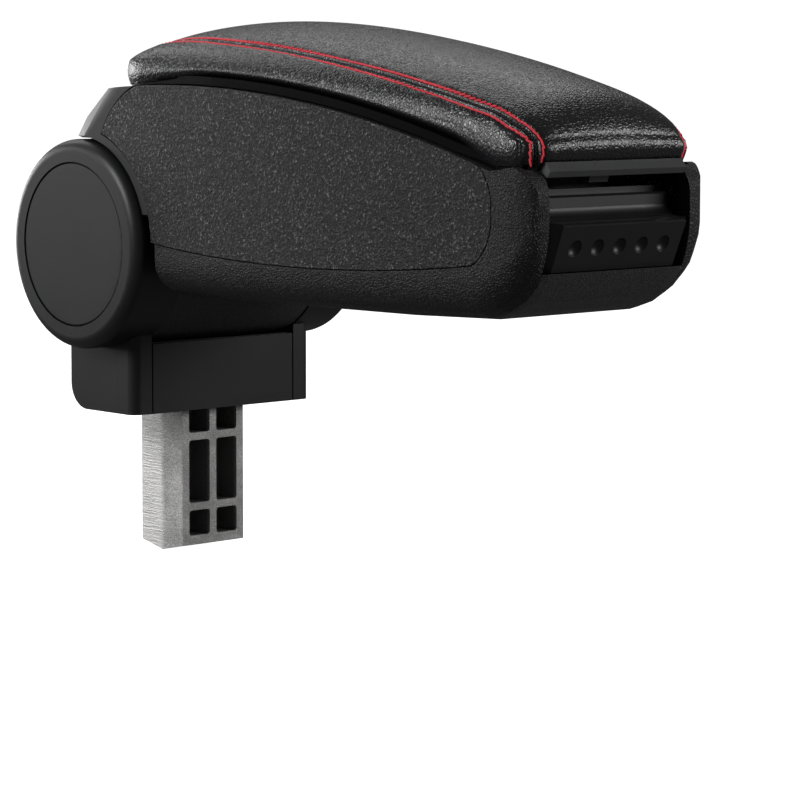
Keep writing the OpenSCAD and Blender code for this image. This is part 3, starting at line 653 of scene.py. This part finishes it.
def shape_grid(rows, near, side_count, top_count, tuck_count):
    """Skin of the cushion, with each vertex's panel and share and its distance from the nearest seam.
    A row is (u, share of an end wall's height)."""
    grid, coords, offsets = [], [], []
    for u, up in rows:
        points, length, seam = section(u)
        at = columns(length, seam, near, side_count, top_count)
        line = np.stack([np.interp(at, length, points[:, k]) for k in range(3)], 1)
        share = np.interp(at, [0, seam[0], seam[1], length[-1]], [1, 2, 3, 4])
        v = np.arange(tuck_count) / tuck_count
        low = hem_line(line[:, 0], line[:, 1])
        step = np.gradient(line[:, :2], axis=0)
        inward = np.stack([-step[:, 1], step[:, 0]], 1) * (-1 if u < MIDWAY else 1)
        inward /= np.maximum(np.linalg.norm(inward, axis=1, keepdims=True), 1e-9)
        end_x = line[0, 0]
        slope = pad_half(end_x + 0.2) - pad_half(end_x - 0.2)
        corner = np.array([slope, 0.4]) / math.hypot(slope, 0.4)
        hem = HEM - HEM_CORNERS * max(smooth01((end_x - 245) / 35), smooth01((DROOP_REAR - end_x) / 58))

        def pulled_in(height):
            """How far the side stands back at a share of its height: a bulge over a turned hem."""
            return hem * (1 - height) ** 1.6 - BULGE * np.sin(np.pi * height)

        def tucked(end, mirror):
            """The side under one end of the row."""
            x, y, z = line[end]
            back = (pulled_in(v * up) + SPLAY * (1 - up) * (1 - v))[:, None] * corner * [1, mirror]
            return np.stack([x + back[:, 0], y + back[:, 1], low[end] + (z - low[end]) * v * up], 1)

        wall = line.copy()
        wall[:, 2] = low + (line[:, 2] - low) * up
        wall[:, :2] += inward * (pulled_in(up) if up < 1 else 0.0)
        full = np.concatenate([tucked(0, 1), wall, tucked(-1, -1)[::-1]])
        near_right, near_left = at - seam[0], seam[1] - at
        off = np.where(np.abs(near_right) < np.abs(near_left), near_right, near_left)
        grid.append(full)
        coords.append(np.concatenate([v, share, 5 - v[::-1]]))
        offsets.append(np.concatenate([v - 99, off, v[::-1] - 99]))
    return np.array(grid), np.array(coords), np.array(offsets)


# Rows lie closer together at the two ends by this share
CROWDING = 0.48


def cushion_rows(step, wall_count):
    """Rows from the foot of the rear wall, over the top, to the foot of the front wall."""
    count = int((PAD_FRONT - PAD_REAR) / step)
    t = np.linspace(0, 1, count + 1)
    t = t - CROWDING * np.sin(2 * np.pi * t) / (2 * np.pi)
    top = PAD_REAR + (PAD_FRONT - PAD_REAR) * t
    up = [k / wall_count for k in range(wall_count)]
    return ([(PAD_REAR, v) for v in up] + [(u, 1.0) for u in top]
            + [(PAD_FRONT, v) for v in reversed(up)])


def row_place(rows):
    """One number for each row that grows from foot to foot."""
    return np.array([u + (1 - v) * (-10 if u < MIDWAY else 10) for u, v in rows])


def normals_of(grid):
    """Outward unit normals at the grid's vertices."""
    n = np.cross(np.gradient(grid, axis=0), np.gradient(grid, axis=1))
    n /= np.maximum(np.linalg.norm(n, axis=2, keepdims=True), 1e-9)
    return n


def grid_object(name, grid):
    """Closed mesh from a grid of skin vertices, with a flat sole under it."""
    n, m = grid.shape[:2]
    faces = [(i * m + j, (i + 1) * m + j, (i + 1) * m + j + 1, i * m + j + 1)
             for i in range(n - 1) for j in range(m - 1)]
    faces += [(i * m, i * m + m - 1, (i + 1) * m + m - 1, (i + 1) * m) for i in range(n - 1)]
    faces.append(tuple(range(m)))
    faces.append(tuple((n - 1) * m + j for j in range(m - 1, -1, -1)))
    mesh = bpy.data.meshes.new(name)
    mesh.from_pydata((grid.reshape(-1, 3) * MM).tolist(), [], faces)
    mesh.update()
    obj = bpy.data.objects.new(name, mesh)
    bpy.context.scene.collection.objects.link(obj)
    return obj


# Cushion under pressure

COARSE_COLUMNS = (6, 26, 2)
CLOTH_FRAMES = 20
CLOTH_PRESSURE = 60
# Movement is eased off towards this many millimetres
CLOTH_LIMIT = 4.0


def pressed(rows):
    """How far cloth under pressure moves from a coarse skin that is held at its hems and seams."""
    grid, share, _ = shape_grid(rows, np.array([]), *COARSE_COLUMNS)
    n, m = grid.shape[:2]
    skin = grid_object("pressed_skin", grid)
    hold = skin.vertex_groups.new(name="hold")
    for i in range(n):
        for j in range(m):
            at_seam = min(abs(share[i, j] - 2), abs(share[i, j] - 3)) < 0.01
            at_hem = share[i, j] < 0.6 or share[i, j] > 4.4 or i < 3 or i > n - 4
            if at_seam or at_hem:
                hold.add([i * m + j], 1.0, "REPLACE")
    cloth = skin.modifiers.new("cloth", "CLOTH")
    cloth.settings.quality = 6
    cloth.settings.mass = 0.3
    cloth.settings.tension_stiffness = 1
    cloth.settings.compression_stiffness = 1
    cloth.settings.bending_stiffness = 1.5
    cloth.settings.use_pressure = True
    cloth.settings.uniform_pressure_force = CLOTH_PRESSURE
    cloth.settings.effector_weights.gravity = 0
    cloth.settings.vertex_group_mass = "hold"
    cloth.point_cache.frame_start = 1
    cloth.point_cache.frame_end = CLOTH_FRAMES
    for number in range(1, CLOTH_FRAMES + 1):
        bpy.context.scene.frame_set(number)
    apply_modifiers(skin)
    after = np.empty(n * m * 3)
    skin.data.vertices.foreach_get("co", after)
    bpy.data.objects.remove(skin, do_unlink=True)
    bpy.context.scene.frame_set(1)
    move = after.reshape(n, m, 3) / MM - grid
    reach = np.linalg.norm(move, axis=2, keepdims=True)
    print("cloth moved up to %.2f mm" % reach.max())
    move *= CLOTH_LIMIT * np.tanh(reach / CLOTH_LIMIT) / np.maximum(reach, 1e-9)
    return row_place(rows), share, move


def spread(place, share, move, rows, fine_share):
    """The coarse movement, read at the fine grid's vertices."""
    fine = np.empty(fine_share.shape + (3,))
    for i, where in enumerate(row_place(rows)):
        below = min(max(np.searchsorted(place, where) - 1, 0), len(place) - 2)
        part = (where - place[below]) / (place[below + 1] - place[below])
        for k in range(3):
            a = np.interp(fine_share[i], share[below], move[below, :, k])
            b = np.interp(fine_share[i], share[below + 1], move[below + 1, :, k])
            fine[i, :, k] = a + (b - a) * part
    return fine


def run_length(grid, axis):
    """Distance along the grid lines of one axis."""
    step = np.linalg.norm(np.diff(grid, axis=axis), axis=2)
    return np.concatenate([np.zeros_like(np.take(step, [0], axis)), np.cumsum(step, axis=axis)], axis)


# Stitch length, and how far a stitch row runs from its seam, in millimetres
STITCH = 3.2
ROW_OFF = 3.0
FINE_STEP, FINE_WALL, FINE_COLUMNS = 0.85, 8, (9, 52, 5)
COARSE_STEP, COARSE_WALL = 4.5, 3
rows = cushion_rows(FINE_STEP, FINE_WALL)
skin_grid, skin_share, seam_off = shape_grid(rows, NEAR_SEAM, *FINE_COLUMNS)
skin_grid += spread(*pressed(cushion_rows(COARSE_STEP, COARSE_WALL)), rows, skin_share)

seam_run = run_length(skin_grid, 0)
beyond = np.abs(seam_off)
lip = seam_run - seam_run[len(rows) - FINE_WALL - 1]
lip_y = skin_grid[:, :, 1]
# Two turned-in folds in a valley, a dimple at each stitch hole, and leather that puffs up beside them
puff = -1.25 * bell(beyond, 3.3) + 0.85 * bell(beyond - 1.4, 0.55)
puff += (0.2 + 0.22 * np.cos(2 * np.pi * seam_run / STITCH)) * -bell(beyond - ROW_OFF, 0.7)
puff += (0.18 + 0.12 * np.sin(seam_run / 2.3 + 1.5 * np.sin(seam_run / 9.0))) * bell(beyond - 4.6, 1.3)
# The front lip stands out under a crease, with fine gathers that run down from it
puff += -0.38 * bell(lip + 0.5, 1.1) + 0.35 * np.sin(np.pi * clamp01(lip / 9))
gather = np.sin(2.3 * lip_y + 1.4 * np.sin(lip_y / 4.3)) * (0.65 + 0.35 * np.sin(lip_y / 2.9 + 1.0))
away = 1 - bell(beyond, 4.0)
puff += 0.17 * gather * clamp01((lip + 3.5) / 3) * clamp01(1.3 - lip / 8) * away
puff *= clamp01(run_length(skin_grid, 1) / 4) * clamp01(run_length(skin_grid[:, ::-1], 1)[:, ::-1] / 4)
skin_grid += normals_of(skin_grid) * puff[:, :, None]

cushion = grid_object("cushion_leather", skin_grid)
only(cushion)
bpy.ops.object.shade_smooth_by_angle(angle=SOFT_SHADE)
settle(cushion, "lid", "leather", hide, "cushion_foam", "cushion_cover")


# Stitches

def stitch_form(name, length, thick):
    """One stitch: a short rounded rope along X."""
    bpy.ops.object.select_all(action="DESELECT")
    bpy.ops.mesh.primitive_cylinder_add(
        vertices=8, radius=0.5 * thick * MM, depth=length * MM, rotation=(0, math.pi / 2, 0))
    bpy.ops.object.transform_apply(location=False, rotation=True, scale=False)
    form = bpy.context.active_object
    form.name = name
    bpy.ops.object.mode_set(mode="EDIT")
    bpy.ops.mesh.select_all(action="DESELECT")
    bpy.ops.mesh.select_mode(type="EDGE")
    bpy.ops.object.mode_set(mode="OBJECT")
    for edge in form.data.edges:
        a, b = (form.data.vertices[k].co for k in edge.vertices)
        edge.select = abs(a.x - b.x) < 1e-6
    bpy.ops.object.mode_set(mode="EDIT")
    bpy.ops.mesh.bevel(offset=0.33 * thick * MM, segments=2, affect="EDGES")
    bpy.ops.object.mode_set(mode="OBJECT")
    verts = np.array([v.co[:] for v in form.data.vertices]) / MM
    faces = [tuple(p.vertices) for p in form.data.polygons]
    bpy.data.objects.remove(form, do_unlink=True)
    return verts, faces


def read(values, run, s):
    """A list of places or directions, read at a distance along it."""
    return np.array([np.interp(s, run, values[:, k]) for k in range(3)])


# A stitch's ends dip by this share of its half length; its direction is read this far to both sides
STITCH_DIP = 0.10
READ_AHEAD = 0.6


def sew(name, paths, form, pitch, slant, lift, finish):
    """Copies one stitch along paths over the skin. A path is a column of the grid."""
    verts, faces = form
    dip = STITCH_DIP * verts[:, 0] ** 2 / verts[:, 0].max()
    body = np.stack([verts[:, 0], verts[:, 1], verts[:, 2] - dip], 1)
    cos, sin = math.cos(slant), math.sin(slant)
    turn = np.array([[cos, -sin, 0], [sin, cos, 0], [0, 0, 1]])
    normals = normals_of(skin_grid)
    all_verts, all_faces = [], []
    for column, first, last in paths:
        line = skin_grid[first:last, column]
        up = normals[first:last, column]
        run = np.concatenate([[0], np.cumsum(np.linalg.norm(np.diff(line, axis=0), axis=1))])
        count = int(round(run[-1] / pitch))
        for s in (np.arange(count) + 0.5) * run[-1] / count:
            t = read(line, run, s + READ_AHEAD) - read(line, run, s - READ_AHEAD)
            t /= np.linalg.norm(t)
            n = read(up, run, s)
            n -= t * n.dot(t)
            n /= np.linalg.norm(n)
            b = np.cross(n, t)
            base = len(all_verts)
            placed = read(line, run, s) + n * lift + (body @ turn.T) @ np.array([t, b, n])
            all_verts.extend((placed * MM).tolist())
            all_faces.extend(tuple(base + k for k in f) for f in faces)
    mesh = bpy.data.meshes.new(name)
    mesh.from_pydata(all_verts, [], all_faces)
    obj = bpy.data.objects.new(name, mesh)
    bpy.context.scene.collection.objects.link(obj)
    only(obj)
    bpy.ops.object.shade_smooth_by_angle(angle=SOFT_SHADE)
    return settle(obj, "lid", "leather", finish)


def column_at(side, distance):
    """The grid column at a distance from the seam on one side, positive towards the middle."""
    middle = len(rows) // 2
    wrong = np.sign(skin_grid[middle, :, 1]) != side
    return int(np.argmin(np.abs(seam_off[middle] - distance) + 100 * wrong))


whole = (1, len(rows))
# Length and thickness of one stitch, and of one turn of the cord
RED_STITCH = (3.9, 0.95)
CORD_TURN = (2.6, 1.15)
CORD_PITCH = 1.9
red_paths = [(column_at(side, off),) + whole for side in (-1, 1) for off in (-ROW_OFF, ROW_OFF)]
cord_paths = [(column_at(side, 0.0),) + whole for side in (-1, 1)]
sew("red_stitches", red_paths, stitch_form("red_stitch", *RED_STITCH), STITCH, math.radians(9), 0.30, red)
sew("seam_cord", cord_paths, stitch_form("cord_turn", *CORD_TURN), CORD_PITCH, math.radians(26), 0.25, black)


# Camera, floor and light

# The photograph's camera, solved from the foot, the spigot, the drum and the front corners
CAMERA_PLACE = (1.2042, -0.9586, 0.1764)
CAMERA_LOOK = (-0.7445, 0.6632, -0.0772)
CAMERA_LENS, CAMERA_SENSOR = 136.9, 36
CAMERA_SHIFT = (0.05, -0.1375)

camera = bpy.data.objects.new("camera", bpy.data.cameras.new("camera"))
bpy.context.scene.collection.objects.link(camera)
camera.location = CAMERA_PLACE
camera.rotation_euler = Vector(CAMERA_LOOK).to_track_quat("-Z", "Y").to_euler()
camera.data.lens = CAMERA_LENS
camera.data.sensor_width = CAMERA_SENSOR
camera.data.shift_x, camera.data.shift_y = CAMERA_SHIFT
camera.data.clip_end = 50
bpy.context.scene.camera = camera
bpy.context.scene.view_settings.view_transform = "Standard"

# The floor lies just under the spigot's tip
FLOOR_SIZE, FLOOR_Z = 12, -0.0745
bpy.ops.object.select_all(action="DESELECT")
bpy.ops.mesh.primitive_plane_add(size=FLOOR_SIZE, location=(0, 0, FLOOR_Z))
floor = bpy.context.active_object
floor.name = "floor"
pale = Finish("pale_floor", Base_Color=grey(0.8), Roughness=0.9, Emission_Color=grey(1.0),
              Emission_Strength=1.0)
speckle = pale.noise(pale.place(), 0.02, 2.0)
pale.feed(Base_Color=pale.blend(speckle, grey(0.79), grey(0.81)))
floor.data.materials.append(pale.material)
floor.visible_diffuse = False
floor.visible_glossy = False


def softbox(name, place, width, height, power):
    """A soft rectangular lamp that faces the arm."""
    lamp = bpy.data.lights.new(name, "AREA")
    lamp.shape = "RECTANGLE"
    lamp.size, lamp.size_y, lamp.energy = width, height, power
    obj = bpy.data.objects.new(name, lamp)
    bpy.context.scene.collection.objects.link(obj)
    obj.location = place
    to_arm = Vector(ARM_MIDDLE) - obj.location
    obj.rotation_euler = to_arm.to_track_quat("-Z", "Y").to_euler()


ARM_MIDDLE = (0.13, 0, 0.1)
# Place, width, height and power of each lamp
SOFTBOXES = {
    "sheen_behind": ((-0.70, 0.85, 1.25), 1.2, 0.5, 4.2),
    "sheen_left": ((-1.05, 0.05, 1.00), 0.5, 0.6, 2.5),
    "side_left": ((-1.3, -1.2, 0.45), 1.3, 0.8, 4.5),
    "low_card_left": ((-1.6, -0.15, 0.25), 0.8, 0.5, 8),
    "side_strip": ((-0.28, -1.45, 0.85), 0.45, 0.6, 16),
    "front_fill": ((1.25, 0.98, 0.50), 0.9, 0.45, 9),
}
for name, (place, width, height, power) in SOFTBOXES.items():
    softbox(name, place, width, height, power)

# White behind the object, and a dim room for what the object reflects
ROOM_DIM, BACKDROP_WHITE = 0.10, 1.05
world = bpy.data.worlds.new("studio")
bpy.context.scene.world = world
world.use_nodes = True
backdrop = world.node_tree.nodes["Background"]
backdrop.inputs["Color"].default_value = (1, 1, 1, 1)
seen = world.node_tree.nodes.new("ShaderNodeLightPath")
strength = world.node_tree.nodes.new("ShaderNodeMapRange")
strength.inputs["To Min"].default_value = ROOM_DIM
strength.inputs["To Max"].default_value = BACKDROP_WHITE
world.node_tree.links.new(seen.outputs["Is Camera Ray"], strength.inputs["Value"])
world.node_tree.links.new(strength.outputs["Result"], backdrop.inputs["Strength"])
